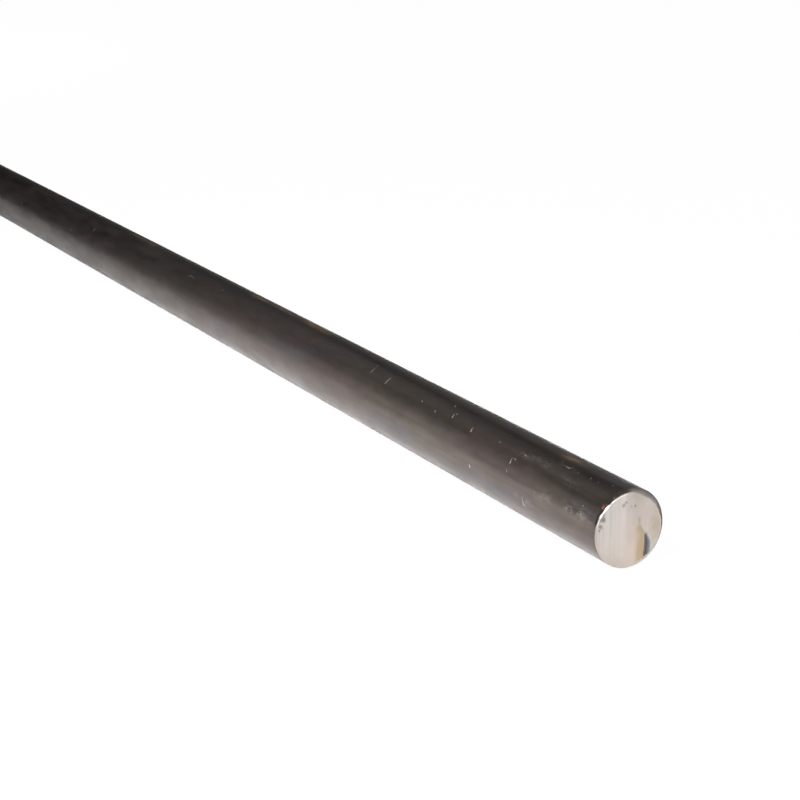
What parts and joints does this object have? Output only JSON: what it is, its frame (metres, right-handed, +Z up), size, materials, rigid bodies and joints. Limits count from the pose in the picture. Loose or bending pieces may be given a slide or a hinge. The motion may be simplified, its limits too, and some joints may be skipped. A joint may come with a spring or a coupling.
{
  "type": "steel round bar",
  "caption": "Solid round steel bar, hot rolled with dark mill scale and bright sawn ends, stock for framing, pins, railings and welded or machined parts.",
  "frame": {"origin": "on the floor under the middle of the bar, which lies on its side", "axes": "+X along the bar towards the sawn end that the picture shows, +Z up"},
  "size_m": [1, 0.02, 0.02],
  "materials": {
    "mill_scale": "satin"
  },
  "bodies": {
    "root": {"bar": "mill_scale"}
  },
  "joints": []
}
